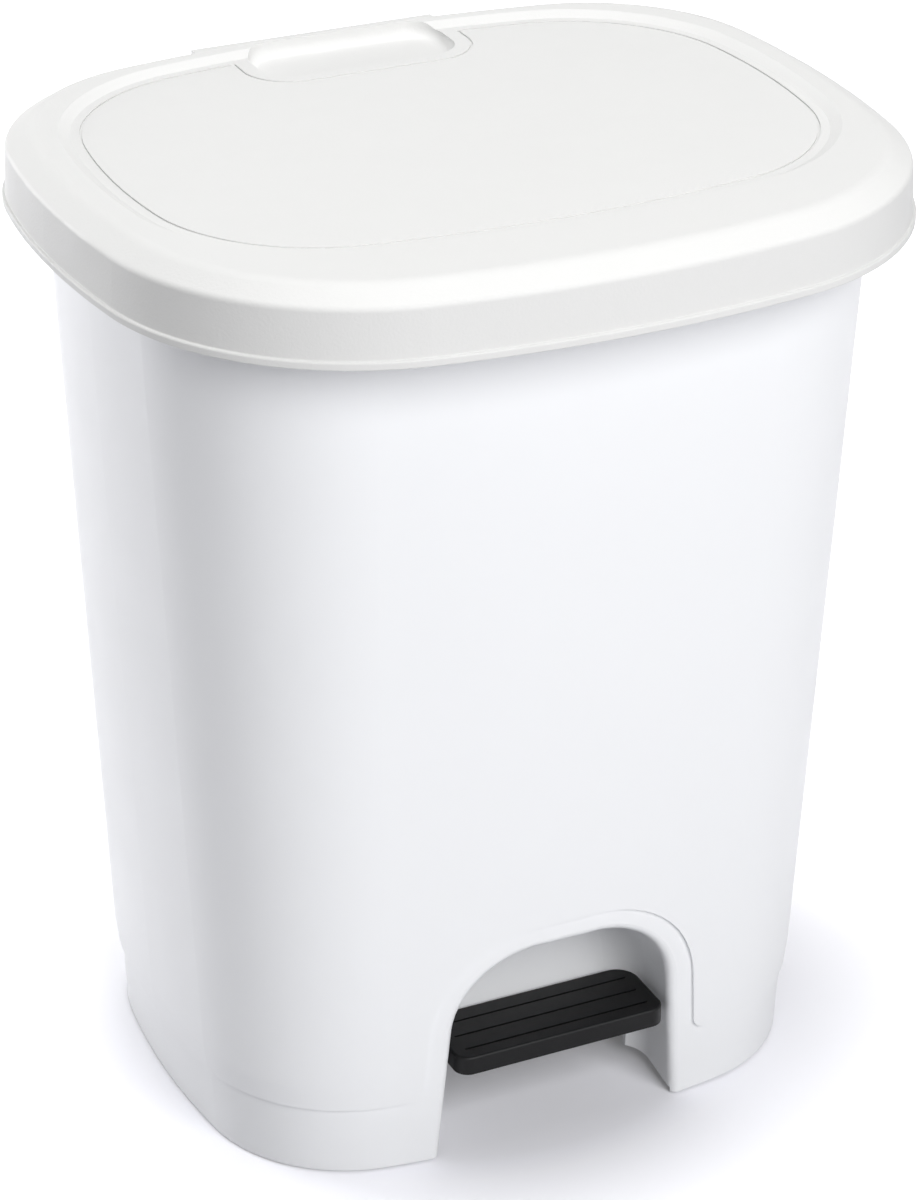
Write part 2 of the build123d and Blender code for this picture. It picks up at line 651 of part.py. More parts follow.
def make_lid():
    """The moulded lid with its sunk panel, finger recess, hinge hood and barrels."""
    lid = sweep(lid_profile(), path=LID_OVAL.wire(LID_BOTTOM))
    lid += LID_OVAL.grown(-LID_RING + 2.0).slab(LID_UNDER, OVERALL_HEIGHT)
    foot = PANEL_OVAL.grown(PANEL_LEDGE)
    crest = panel_crest()
    lid += crest.slab(PANEL_Z - WALL, LID_UNDER + CUT)
    sunk = loft([foot.face(PANEL_Z), crest.face(OVERALL_HEIGHT)], ruled=True)
    sunk += crest.slab(OVERALL_HEIGHT, OVERALL_HEIGHT + CUT)
    recess_z = OVERALL_HEIGHT - RECESS_DROP
    lid += recess_cut(WALL, recess_z - WALL, OVERALL_HEIGHT - WALL / 2, RECESS_FLOOR_RADIUS)
    lid -= sunk
    lid -= recess_cut(0, recess_z, OVERALL_HEIGHT + CUT, RECESS_FLOOR_RADIUS)
    lid -= panel_groove()

    hood_back = OVERALL_DEPTH / 2
    inner_back = hood_back - WALL
    inner_top = HOOD_TOP - WALL
    hood = block(-HOOD_HALF_WIDTH, HOOD_HALF_WIDTH, HINGE_Y - 7.0, hood_back, HOOD_BOTTOM, HOOD_TOP)
    upper_edges = [e for e in hood.edges() if e.center().Y > hood_back - 1e-3 and e.center().Z > HOOD_BOTTOM + 1]
    hood = fillet(upper_edges, HOOD_EDGE_RADIUS)
    lid += hood
    lid -= block(-BARREL_OUTER, BARREL_OUTER, HINGE_Y - 20.0, inner_back, LID_BOTTOM - CUT, inner_top)
    for side in (-1, 1):
        x0, x1 = sorted((side * BARREL_INNER, side * HOOD_HALF_WIDTH))
        lid += bar_x(KNUCKLE_RADIUS, x0, x1, HINGE_Y, HINGE_Z)
        lid += block(x0, x1, HINGE_Y - 5.0, HINGE_Y + 5.0, HINGE_Z, inner_top + WALL / 2)
    lid -= bar_x(PIN_RADIUS + RUN, -OVERALL_WIDTH / 4, OVERALL_WIDTH / 4, HINGE_Y, HINGE_Z)
    for x, y in crank_screw_places():
        lid -= bar_z(SCREW_RADIUS, inner_top - CUT, HOOD_TOP - 0.8, x, y)
    return lid


def make_hinge_ear():
    """Right hinge ear: a plate on the back wall with an arm that holds the hinge pin."""
    back = hinge_plate_back()
    plate = block(EAR_INNER, EAR_PLATE_OUTER, back - 3 * EAR_PLATE_THICK, back,
                  EAR_PLATE_TOP - EAR_PLATE_HEIGHT, EAR_PLATE_TOP)
    arm = side_prism(
        [
            (back - 3 * EAR_PLATE_THICK, HINGE_Z + KNUCKLE_RADIUS),
            (HINGE_Y, HINGE_Z + KNUCKLE_RADIUS),
            (HINGE_Y, HINGE_Z - KNUCKLE_RADIUS),
            (back, EAR_PLATE_TOP - EAR_PLATE_HEIGHT + 10.0),
            (back - 3 * EAR_PLATE_THICK, EAR_PLATE_TOP - EAR_PLATE_HEIGHT + 10.0),
        ],
        EAR_INNER,
        EAR_OUTER,
    )
    ear = plate + arm + bar_x(KNUCKLE_RADIUS, EAR_INNER, EAR_OUTER, HINGE_Y, HINGE_Z)
    ear -= tub_loft(PLINTH_Z, RIM_Z, -SKIN)
    ear -= bar_x(PIN_RADIUS, EAR_INNER - CUT, EAR_OUTER + CUT, HINGE_Y, HINGE_Z)
    for x, z in hinge_screw_places():
        if x > 0:
            ear -= bar_y(SCREW_RADIUS, 0, back + CUT, x, z)
    return ear


def make_hinge_pin():
    return bar_x(PIN_RADIUS, -BARREL_OUTER, BARREL_OUTER, HINGE_Y, HINGE_Z)


def screw_y(x, z, seat_y, end_y):
    """A pan-head screw along Y, its head on the seat and its point at end_y."""
    return bar_y(SCREW_RADIUS, end_y, seat_y, x, z) + bar_y(SCREW_HEAD_RADIUS, seat_y, seat_y + SCREW_HEAD_HEIGHT, x, z)


def screw_z(x, y, seat_z, end_z):
    """A pan-head screw driven upwards, its head under the seat and its point at end_z."""
    head = bar_z(SCREW_HEAD_RADIUS, seat_z - SCREW_HEAD_HEIGHT, seat_z, x, y)
    return bar_z(SCREW_RADIUS, seat_z, end_z, x, y) + head


def make_hinge_screws():
    return joined(screw_y(x, z, hinge_plate_back(), hinge_screw_end()) for x, z in hinge_screw_places())


def make_guide_screws():
    seat = CHANNEL_Y + GUIDE_FLANGE_THICK
    return joined(screw_y(x, z, seat, CHANNEL_Y - WALL) for x, z in guide_screw_places())


def make_bearing_screws():
    seat = FLOOR_Z - BLOCK_FLANGE_THICK
    return joined(screw_z(x, y, seat, FLOOR_Z + FLOOR_THICK - 0.5) for x, y in bearing_screw_places())


def make_tread_screws():
    seat = TREAD_BOTTOM - LEVER_PAD_THICK
    return joined(screw_z(x, y, seat, TREAD_BOTTOM + TREAD_THICK / 2) for x, y in tread_screw_places())


def make_crank_screws():
    seat = HOOD_TOP - WALL - CRANK_PLATE_THICK
    return joined(screw_z(x, y, seat, HOOD_TOP - 0.8) for x, y in crank_screw_places())


def make_lid_crank():
    """The crank under the hinge hood: a plate, a hub on the hinge pin and two cheeks for the crank pin."""
    top = HOOD_TOP - WALL
    crank = block(-CRANK_PLATE_HALF, CRANK_PLATE_HALF, HINGE_Y - KNUCKLE_RADIUS, HINGE_Y + KNUCKLE_RADIUS,
                  top - CRANK_PLATE_THICK, top)
    crank += block(-CRANK_HALF, CRANK_HALF, HINGE_Y - 4.5, HINGE_Y + 4.5, HINGE_Z, top)
    crank += bar_x(KNUCKLE_RADIUS, -CRANK_HALF, CRANK_HALF, HINGE_Y, HINGE_Z)
    for side in (-1, 1):
        x0, x1 = sorted((side * CHEEK_INNER, side * CRANK_HALF))
        crank += side_link(HINGE_Y, HINGE_Z, KNUCKLE_RADIUS, CRANK_PIN_Y, CRANK_PIN_Z, 5.2, x0, x1)
    crank -= bar_x(PIN_RADIUS + RUN, -CRANK_HALF - CUT, CRANK_HALF + CUT, HINGE_Y, HINGE_Z)
    crank -= bar_x(CRANK_PIN_RADIUS, -CRANK_HALF - CUT, CRANK_HALF + CUT, CRANK_PIN_Y, CRANK_PIN_Z)
    for x, y in crank_screw_places():
        crank -= bar_z(SCREW_RADIUS, top - CRANK_PLATE_THICK - CUT, top + CUT, x, y)
    return crank


def make_crank_pin():
    return bar_x(CRANK_PIN_RADIUS, -CRANK_HALF, CRANK_HALF, CRANK_PIN_Y, CRANK_PIN_Z)


def make_lid_bumpers():
    """Soft buttons under the lid that land on the rim."""
    places = [RIM_OVAL.corner_point(WALL, side, end) for side, end in quarters()]
    buttons = joined(bar_z(BUMPER_RADIUS, RIM_Z + BUMPER_PLAY, LID_UNDER, x, y) for x, y in places)
    return buttons - panel_crest().slab(PANEL_Z - WALL, OVERALL_HEIGHT)


def make_push_rod():
    return bar_z(ROD_RADIUS, ROD_FOOT_BOTTOM + ROD_FOOT_WEB, PUSHER_TOP - PUSHER_THICK / 2, 0, ROD_Y)


def make_rod_foot():
    """The cap on the rod's lower end, that the lever's tip pushes."""
    foot = bar_z(ROD_FOOT_RADIUS, ROD_FOOT_BOTTOM, ROD_FOOT_BOTTOM + ROD_FOOT_HEIGHT, 0, ROD_Y)
    return foot - bar_z(ROD_RADIUS, ROD_FOOT_BOTTOM + ROD_FOOT_WEB, OVERALL_HEIGHT, 0, ROD_Y)


def make_rod_pusher():
    """The cap on the rod's upper end, with a pad between the crank's cheeks."""
    half = CHEEK_INNER - SIDE_PLAY
    pad = block(-half, half, ROD_Y - PUSHER_HALF_LENGTH, ROD_Y + PUSHER_HALF_LENGTH,
                PUSHER_TOP - PUSHER_THICK, PUSHER_TOP)
    collar = bar_z(COLLAR_RADIUS, PUSHER_TOP - PUSHER_THICK - COLLAR_HEIGHT, PUSHER_TOP - PUSHER_THICK - 6.0, 0, ROD_Y)
    neck = bar_z(half, PUSHER_TOP - PUSHER_THICK - COLLAR_HEIGHT, PUSHER_TOP - PUSHER_THICK, 0, ROD_Y)
    return pad + collar + neck - bar_z(ROD_RADIUS, 0, PUSHER_TOP - PUSHER_THICK / 2, 0, ROD_Y)


def make_rod_guide(low):
    """A guide screwed into the channel, bored for the rod."""
    high = low + GUIDE_HEIGHT
    guide = block(-GUIDE_FLANGE_HALF, GUIDE_FLANGE_HALF, CHANNEL_Y, CHANNEL_Y + GUIDE_FLANGE_THICK, low, high)
    guide += block(-GUIDE_HALF, GUIDE_HALF, CHANNEL_Y, GUIDE_BACK, low, high)
    guide -= bar_z(ROD_RADIUS + RUN, low - CUT, high + CUT, 0, ROD_Y)
    for x, z in guide_screw_places():
        guide -= bar_y(SCREW_RADIUS, CHANNEL_Y - CUT, CHANNEL_Y + GUIDE_FLANGE_THICK + CUT, x, z)
    return guide


def lever_line(y):
    """Height of the lever's middle line at rest."""
    return AXLE_Z - (y - AXLE_Y) * tan(HALF_TILT)


def make_pedal_lever():
    """The lever: a pad under the tread, a beam that slopes back past the axle, and a rounded tip."""
    pad_back = TREAD_BACK + 4.0
    bend = pad_back + 8.0
    rise = LEVER_HALF_THICK
    beam = side_prism(
        [
            (TREAD_FRONT + LEVER_PAD_INSET, TREAD_BOTTOM),
            (pad_back, TREAD_BOTTOM),
            (bend, lever_line(bend) + rise),
            (ROD_Y, TIP_Z + rise),
            (ROD_Y, TIP_Z - rise),
            (bend, lever_line(bend) - rise),
            (pad_back, TREAD_BOTTOM - LEVER_PAD_THICK),
            (TREAD_FRONT + LEVER_PAD_INSET, TREAD_BOTTOM - LEVER_PAD_THICK),
        ],
        -LEVER_HALF,
        LEVER_HALF,
    )
    lever = beam + bar_x(TIP_RADIUS, -LEVER_HALF, LEVER_HALF, ROD_Y, TIP_Z)
    lever += block(-LEVER_PAD_HALF, LEVER_PAD_HALF, TREAD_FRONT + LEVER_PAD_INSET, TREAD_BACK,
                   TREAD_BOTTOM - LEVER_PAD_THICK, TREAD_BOTTOM)
    lever += bar_x(LEVER_HUB_RADIUS, -LEVER_HUB_HALF, LEVER_HUB_HALF, AXLE_Y, AXLE_Z)
    lever -= bar_x(AXLE_RADIUS + 1.0, -LEVER_HUB_HALF - CUT, LEVER_HUB_HALF + CUT, AXLE_Y, AXLE_Z)
    for side in (-1, 1):
        x0, x1 = sorted((side * (LEVER_HUB_HALF - BUSH_LENGTH), side * (LEVER_HUB_HALF + CUT)))
        lever -= bar_x(BUSH_RADIUS, x0, x1, AXLE_Y, AXLE_Z)
    for x, y in tread_screw_places():
        lever -= bar_z(SCREW_RADIUS, TREAD_BOTTOM - LEVER_PAD_THICK - CUT, TREAD_BOTTOM + CUT, x, y)
    return lever


def make_lever_bushes():
    """Two flanged bushes in the ends of the lever's hub."""
    bush = bar_x(BUSH_RADIUS, LEVER_HUB_HALF - BUSH_LENGTH, LEVER_HUB_HALF, AXLE_Y, AXLE_Z)
    bush += bar_x(BUSH_FLANGE_RADIUS, LEVER_HUB_HALF, LEVER_HUB_HALF + BUSH_FLANGE, AXLE_Y, AXLE_Z)
    bush -= bar_x(AXLE_RADIUS + RUN, 0, LEVER_HUB_HALF + BUSH_FLANGE + CUT, AXLE_Y, AXLE_Z)
    return joined([bush, mirrored(bush)])


def make_bearing_block():
    """Right bearing block: a flange under the floor and a leg that holds the axle."""
    leg = block(BLOCK_INNER, BLOCK_OUTER, AXLE_Y - BLOCK_HALF, AXLE_Y + BLOCK_HALF, AXLE_Z, FLOOR_Z)
    leg += bar_x(BLOCK_HALF, BLOCK_INNER, BLOCK_OUTER, AXLE_Y, AXLE_Z)
    leg += block(BLOCK_INNER, BLOCK_OUTER, AXLE_Y - BLOCK_FLANGE_HALF, AXLE_Y + BLOCK_FLANGE_HALF,
                 FLOOR_Z - BLOCK_FLANGE_THICK, FLOOR_Z)
    leg -= bar_x(AXLE_RADIUS, BLOCK_INNER - CUT, BLOCK_OUTER + CUT, AXLE_Y, AXLE_Z)
    for x, y in bearing_screw_places():
        if x > 0:
            leg -= bar_z(SCREW_RADIUS, FLOOR_Z - BLOCK_FLANGE_THICK - CUT, FLOOR_Z + CUT, x, y)
    return leg


def make_pedal_axle():
    return bar_x(AXLE_RADIUS, -AXLE_HALF, AXLE_HALF, AXLE_Y, AXLE_Z)


def make_axle_clips():
    """Two ring clips that keep the axle in its blocks."""
    clip = bar_x(CLIP_RADIUS, BLOCK_OUTER, BLOCK_OUTER + CLIP_THICK, AXLE_Y, AXLE_Z)
    clip -= bar_x(AXLE_RADIUS, BLOCK_OUTER - CUT, BLOCK_OUTER + CLIP_THICK + CUT, AXLE_Y, AXLE_Z)
    return joined([clip, mirrored(clip)])


def make_pedal_tread():
    """The black tread: a rounded plate with grooves along its width."""
    tread = block(-TREAD_HALF_WIDTH, TREAD_HALF_WIDTH, TREAD_FRONT, TREAD_BACK, TREAD_BOTTOM, TREAD_TOP)
    uprights = tread.edges().filter_by(Axis.Z)
    tread = fillet([e for e in uprights if e.center().Y < TREAD_FRONT + 1], TREAD_FRONT_RADIUS)
    uprights = tread.edges().filter_by(Axis.Z)
    tread = fillet([e for e in uprights if e.center().Y > TREAD_BACK - 1], TREAD_BACK_RADIUS)
    tread = fillet(tread.faces().sort_by(Axis.Z)[-1].edges(), TREAD_EDGE)
    pitch = (TREAD_LENGTH - TREAD_GROOVE_FRONT - TREAD_GROOVE_BACK) / (TREAD_GROOVES - 1)
    half = TREAD_HALF_WIDTH - TREAD_GROOVE_SIDE
    for index in range(TREAD_GROOVES):
        y = TREAD_FRONT + TREAD_GROOVE_FRONT + pitch * index
        tread -= block(-half, half, y - TREAD_GROOVE_WIDTH / 2, y + TREAD_GROOVE_WIDTH / 2,
                       TREAD_TOP - TREAD_GROOVE_DEPTH, TREAD_TOP + CUT)
    for x, y in tread_screw_places():
        tread -= bar_z(SCREW_RADIUS, TREAD_BOTTOM - CUT, TREAD_BOTTOM + TREAD_THICK / 2, x, y)
    return tread


def make_rubber_feet():
    """Four pads with stems that plug into the foot posts."""
    feet = []
    for x, y in foot_places():
        feet.append(bar_z(FOOT_RADIUS, 0, FOOT_HEIGHT, x, y)
                    + bar_z(FOOT_STEM_RADIUS, FOOT_HEIGHT, FOOT_HEIGHT + FOOT_STEM, x, y))
    return joined(feet)


def make_all():
    ear = make_hinge_ear()
    leg = make_bearing_block()
    return {
        "tub": make_tub(),
        "rubber_feet": make_rubber_feet(),
        "bearing_block_left": mirrored(leg),
        "bearing_block_right": leg,
        "bearing_screws": make_bearing_screws(),
        "pedal_axle": make_pedal_axle(),
        "axle_clips": make_axle_clips(),
        "rod_guide_lower": make_rod_guide(LOWER_GUIDE_Z),
        "rod_guide_upper": make_rod_guide(UPPER_GUIDE_Z),
        "guide_screws": make_guide_screws(),
        "hinge_ear_left": mirrored(ear),
        "hinge_ear_right": ear,
        "hinge_screws": make_hinge_screws(),
        "hinge_pin": make_hinge_pin(),
        "lid": make_lid(),
        "lid_crank": make_lid_crank(),
        "crank_pin": make_crank_pin(),
        "crank_screws": make_crank_screws(),
        "lid_bumpers": make_lid_bumpers(),
        "push_rod": make_push_rod(),
        "rod_foot": make_rod_foot(),
        "rod_pusher": make_rod_pusher(),
        "pedal_lever": make_pedal_lever(),
        "lever_bushes": make_lever_bushes(),
        "pedal_tread": make_pedal_tread(),
        "tread_screws": make_tread_screws(),
    }


def main():
    os.makedirs("parts", exist_ok=True)
    for name, shape in make_all().items():
        export_step(shape, f"parts/{name}.step")


main()
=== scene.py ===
"""Pedal trash can: finishes, fasteners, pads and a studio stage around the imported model."""

import json
from math import cos, radians, sin

import bpy
from bpy.props import FloatProperty, FloatVectorProperty, IntProperty, PointerProperty, StringProperty
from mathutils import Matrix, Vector


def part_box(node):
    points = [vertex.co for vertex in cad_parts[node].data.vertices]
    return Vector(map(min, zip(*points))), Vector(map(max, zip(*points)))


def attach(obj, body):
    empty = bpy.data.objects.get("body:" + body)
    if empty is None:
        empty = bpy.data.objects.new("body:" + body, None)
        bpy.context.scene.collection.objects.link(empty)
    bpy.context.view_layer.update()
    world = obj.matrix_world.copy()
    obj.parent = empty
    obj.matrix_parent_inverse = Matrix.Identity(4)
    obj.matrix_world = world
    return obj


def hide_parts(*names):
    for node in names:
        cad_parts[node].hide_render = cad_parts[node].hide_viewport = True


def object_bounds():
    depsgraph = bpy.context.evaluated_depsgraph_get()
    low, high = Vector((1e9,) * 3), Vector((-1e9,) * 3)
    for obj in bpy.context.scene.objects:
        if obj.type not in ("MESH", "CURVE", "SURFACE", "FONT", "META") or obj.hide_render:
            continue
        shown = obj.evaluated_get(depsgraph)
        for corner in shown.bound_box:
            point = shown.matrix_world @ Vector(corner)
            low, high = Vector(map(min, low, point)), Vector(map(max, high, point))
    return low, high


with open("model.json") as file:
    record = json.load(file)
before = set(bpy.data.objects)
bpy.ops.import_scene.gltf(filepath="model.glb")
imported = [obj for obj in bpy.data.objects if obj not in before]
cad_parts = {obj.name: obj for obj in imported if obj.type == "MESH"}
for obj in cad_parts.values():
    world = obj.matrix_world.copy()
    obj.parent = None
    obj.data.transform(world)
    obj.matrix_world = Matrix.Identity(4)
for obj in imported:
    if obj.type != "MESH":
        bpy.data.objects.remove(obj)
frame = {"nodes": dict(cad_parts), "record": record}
CAD_LOW, CAD_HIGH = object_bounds()

bl_info = {
    "name": "Pedal trash can",
    "version": (1, 0, 0),
    "blender": (4, 5, 0),
    "location": "View3D > Sidebar > Trash can",
    "description": "Dresses the packed pedal trash can with its finishes, fasteners, pads and stage",
    "category": "Object",
}

MM = 0.001
WHITE = (1.0, 1.0, 1.0, 1.0)

# The main mouldings
MOULDINGS = ("tub", "lid", "pedal_tread", "pedal_lever")
# Each set of screws: the body it rides on and the way its heads look
SCREW_SETS = {
    "hinge_screws": ("can_body", "+Y"),
    "guide_screws": ("can_body", "+Y"),
    "bearing_screws": ("can_body", "-Z"),
    "crank_screws": ("lid_body", "-Z"),
    "tread_screws": ("pedal_body", "-Z"),
}
# The turn that brings a head from looking up to looking each way
HEAD_TURNS = {"+Y": (radians(-90), 0, 0), "-Z": (radians(180), 0, 0)}

# A pan head's crown: how far it falls, as a share of the head's height, and how late
CROWN_FALL = 0.45
CROWN_POWER = 2.2
# The bars that cut its recess, as shares of the head's radius and, for the depth, of its height
RECESS_LENGTH = 1.15
RECESS_WIDTH = 0.26
RECESS_DEPTH = 1.1
# A thread's core and ridge, as shares of the shank's radius, its steps in one turn and the ridge's sides
THREAD_CORE = 0.86
THREAD_RIDGE = 0.14
THREAD_STEPS = 16
THREAD_SIDES = 3
# Bands of faces up the side of a round pad or screw head, and rings of faces on its ends
PAD_BANDS = 3
PAD_RINGS = 6
# How late a pad's face falls away towards its rim, and a bumper's stem as a share of its radius
PAD_POWER = 6.0
BUMPER_STEM = 0.5
# Faces that meet at more than this keep a sharp edge
SHARP_ANGLE = radians(35)

# Typical indices of refraction of the plastics and rubbers
POLYPROPYLENE_IOR = 1.49
NYLON_IOR = 1.53
RUBBER_IOR = 1.52
# Layers of finer noise in each pattern
NOISE_DETAIL = 3.0
# Noise seldom leaves this range, which is stretched over the whole spread of the roughness
NOISE_LOW = 0.3
NOISE_HIGH = 0.7
# How far a moulding's roughness wanders, as a share of it, and the size of the patches against its clouds
ROUGH_WANDER = 0.12
PATCH_SHARE = 0.4
# Streaks in drawn steel: close together across the rod and long along it
STREAKS = (4.0, 4.0, 0.6)
# Sockets of a Mix node for colours, by number, because its other kinds of value use the same names
MIX_SHARE = 0
MIX_FIRST = 6
MIX_SECOND = 7
# The materials under the record's slots, filled when they are first asked for
FINISHES = {}

# The camera: the photograph's height in pixels, the sensor's width in millimetres, its near limit in metres
PHOTO_HEIGHT = 1200
SENSOR = 36.0
CLIP_START = 0.01
# The studio's lamps: where they stand round the can in degrees, how far off, their size in metres and power
SOFTBOXES = {
    "key_front": dict(azimuth=6, elevation=33, distance=3.4, width=2.2, height=1.8, watts=95),
    "back_left": dict(azimuth=-145, elevation=8, distance=2.4, width=1.0, height=0.8, watts=34),
    "top": dict(azimuth=-160, elevation=82, distance=2.4, width=1.6, height=1.6, watts=34),
}
# Half the floor's side in metres, and where its glow grows, in half widths and half depths of the tub
FLOOR_HALF = 8.0
NEAR_GLOW = (0.75, 1.35)
FAR_GLOW = (3.0, 12.0)


# Sizes, colours and stage settings

class TrashCanColours(bpy.types.PropertyGroup):
    """Finishes, as sRGB hex values"""

    body: StringProperty(name="Body", description="White of the tub", default="#F4F5F7")
    lid: StringProperty(name="Lid", description="White of the lid", default="#E3E3E2")
    fitting: StringProperty(name="White fittings", description="White nylon of the hinge ears and crank",
                            default="#E8E8E8")
    nylon: StringProperty(name="Grey fittings", description="Grey nylon of the bearings and guides",
                          default="#A8AAAC")
    tread: StringProperty(name="Pedal tread", description="Black of the tread", default="#0E0E0F")
    lever: StringProperty(name="Pedal lever", description="Black of the lever", default="#131314")
    rubber: StringProperty(name="Feet", description="Black rubber of the feet", default="#242424")
    bumper: StringProperty(name="Lid bumpers", description="Pale soft rubber", default="#D2D0CB")
    steel: StringProperty(name="Steel", description="Drawn steel of the rod, axle and pins",
                          default="#B9BBBD")
    zinc: StringProperty(name="Screws", description="Zinc plate on the screws", default="#C2C2BC")
    floor: StringProperty(name="Floor", description="Pale studio floor, as the eye sees it",
                          default="#EAEAF0")
    floor_bounce: StringProperty(name="Floor bounce", description="Colour that the floor throws on the can",
                                 default="#CCCCCF")


class TrashCanSizes(bpy.types.PropertyGroup):
    """Sizes of the pieces that are made here"""

    head_radius: FloatProperty(name="Screw head radius", description="Radius of the pan heads",
                               default=3.3 * MM, unit="LENGTH")
    head_height: FloatProperty(name="Screw head height", description="Height of the pan heads",
                               default=2.3 * MM, unit="LENGTH")
    shank_radius: FloatProperty(name="Screw shank radius", description="Outer radius of the threads",
                                default=1.75 * MM, unit="LENGTH")
    thread_pitch: FloatProperty(name="Thread pitch", description="Rise of the thread in one turn",
                                default=1.3 * MM, unit="LENGTH")
    foot_radius: FloatProperty(name="Foot radius", description="Radius of the rubber feet",
                               default=8.0 * MM, unit="LENGTH")
    foot_height: FloatProperty(name="Foot height", description="Height of a foot under its post",
                               default=4.0 * MM, unit="LENGTH")
    foot_edge: FloatProperty(name="Foot edge", description="How far a foot's sole falls at its rim",
                             default=0.8 * MM, unit="LENGTH")
    foot_stem: FloatProperty(name="Foot stem radius", description="Radius of the stem in the post",
                             default=3.0 * MM, unit="LENGTH")
    bumper_radius: FloatProperty(name="Bumper radius", description="Radius of the lid's soft buttons",
                                 default=2.5 * MM, unit="LENGTH")
    bumper_edge: FloatProperty(name="Bumper edge", description="How far a bumper's face falls at its rim",
                               default=0.7 * MM, unit="LENGTH")
    bumper_stem: FloatProperty(name="Bumper stem length", description="Length of the stem in the lid",
                               default=0.5 * MM, unit="LENGTH")
    sides: IntProperty(name="Sides", description="Sides of a round pad or screw head", default=36, min=8)


class TrashCanStage(bpy.types.PropertyGroup):
    """Camera and light"""

    azimuth: FloatProperty(name="Camera azimuth", description="Turn of the camera round the can",
                           default=radians(-24.865), subtype="ANGLE")
    elevation: FloatProperty(name="Camera elevation", description="Height of the camera over the horizon",
                             default=radians(27.448), subtype="ANGLE")
    distance: FloatProperty(name="Camera distance", description="From the camera to the middle of the can",
                            default=1.735, unit="LENGTH")
    target: FloatVectorProperty(name="Camera target", description="Point that the camera looks at",
                                default=(0.0, 0.0047, 0.225), subtype="TRANSLATION")
    focal_pixels: FloatProperty(name="Focal length in pixels", description="For a frame 1200 pixels high",
                                default=3810.8, subtype="PIXEL")
    shift_pixels: FloatVectorProperty(name="Framing in pixels",
                                      description="How far the can sits right of and above the middle",
                                      size=2, default=(-3.58, 9.34))
    ambient: FloatProperty(name="Ambient light", description="Even light from all round", default=0.06)
    floor_glow: FloatProperty(name="Floor glow", description="White that only the eye sees on the open floor",
                              default=0.5, subtype="FACTOR")
    foot_glow: FloatProperty(name="Foot glow", description="The same white close to the foot of the can",
                             default=0.1, subtype="FACTOR")


class TrashCanSettings(bpy.types.PropertyGroup):
    """All settings of the trash can"""

    colours: PointerProperty(type=TrashCanColours)
    sizes: PointerProperty(type=TrashCanSizes)
    stage: PointerProperty(type=TrashCanStage)


def settings():
    """The trash can's settings in this scene."""
    return bpy.context.scene.trash_can


# Small helpers for colours, objects and node trees

def linear(hex_colour):
    """An sRGB hex value as linear red, green, blue and alpha."""
    values = [int(hex_colour[i:i + 2], 16) / 255 for i in (1, 3, 5)]
    return [v / 12.92 if v <= 0.04045 else ((v + 0.055) / 1.055) ** 2.4 for v in values] + [1.0]


def shade(colour, factor):
    """The same colour, darker or lighter."""
    return [min(1.0, v * factor) for v in colour[:3]] + [1.0]


def per_metre(size_mm):
    """Scale of a pattern whose features are that many millimetres across."""
    return 1 / (size_mm * MM)


def new_object(name, data):
    """An object at the origin of the scene."""
    thing = bpy.data.objects.new(name, data)
    bpy.context.scene.collection.objects.link(thing)
    return thing


def empty_tree(owner):
    """The node tree of a material or world, with nothing in it."""
    owner.use_nodes = True
    owner.node_tree.nodes.clear()
    return owner.node_tree


def link(tree, source, target):
    """Links a socket, or a node's first live output, to an input."""
    if isinstance(source, bpy.types.Node):
        source = next(socket for socket in source.outputs if socket.enabled)
    tree.links.new(source, target)


def add(tree, kind, inputs=None, **options):
    """Adds a node, sets its options, and fills its inputs with plain values or with links."""
    node = tree.nodes.new(kind)
    for name, value in options.items():
        setattr(node, name, value)
    for name, value in (inputs or {}).items():
        if isinstance(value, (bpy.types.Node, bpy.types.NodeSocket)):
            link(tree, value, node.inputs[name])
        else:
            node.inputs[name].default_value = value
    return node


# Materials

def new_material(name, inputs):
    """A material with one shader; gives the material, its tree, the shader and the object's coordinates."""
    material = bpy.data.materials.new(name)
    tree = empty_tree(material)
    shader = add(tree, "ShaderNodeBsdfPrincipled", inputs)
    add(tree, "ShaderNodeOutputMaterial", {"Surface": shader})
    place = add(tree, "ShaderNodeTexCoord").outputs["Object"]
    return material, tree, shader, place


def clouded(tree, shader, place, colour, size_mm, spread):
    """Gives the shader a colour that drifts a little darker and lighter in soft clouds."""
    clouds = add(tree, "ShaderNodeTexNoise", {"Vector": place, "Scale": per_metre(size_mm),
                                              "Detail": NOISE_DETAIL})
    mixed = add(tree, "ShaderNodeMix", {MIX_SHARE: clouds.outputs["Fac"],
                                        MIX_FIRST: shade(colour, 1 - spread),
                                        MIX_SECOND: shade(colour, 1 + spread)}, data_type="RGBA")
    link(tree, mixed, shader.inputs["Base Color"])


def polished(tree, shader, place, rough, wander, size_mm):
    """Lets the roughness wander in patches whose size is in millimetres."""
    patches = add(tree, "ShaderNodeTexNoise", {"Vector": place, "Scale": per_metre(size_mm),
                                               "Detail": NOISE_DETAIL})
    ranged = add(tree, "ShaderNodeMapRange", {"Value": patches.outputs["Fac"], "From Min": NOISE_LOW,
                                              "From Max": NOISE_HIGH, "To Min": rough - wander,
                                              "To Max": rough + wander})
    link(tree, ranged, shader.inputs["Roughness"])


def grained(tree, shader, place, size_mm, depth_mm):
    """Raises a fine grain whose size and depth are in millimetres."""
    grain = add(tree, "ShaderNodeTexNoise", {"Vector": place, "Scale": per_metre(size_mm),
                                             "Detail": NOISE_DETAIL})
    raised = add(tree, "ShaderNodeBump", {"Height": grain.outputs["Fac"], "Distance": depth_mm * MM})
    link(tree, raised, shader.inputs["Normal"])


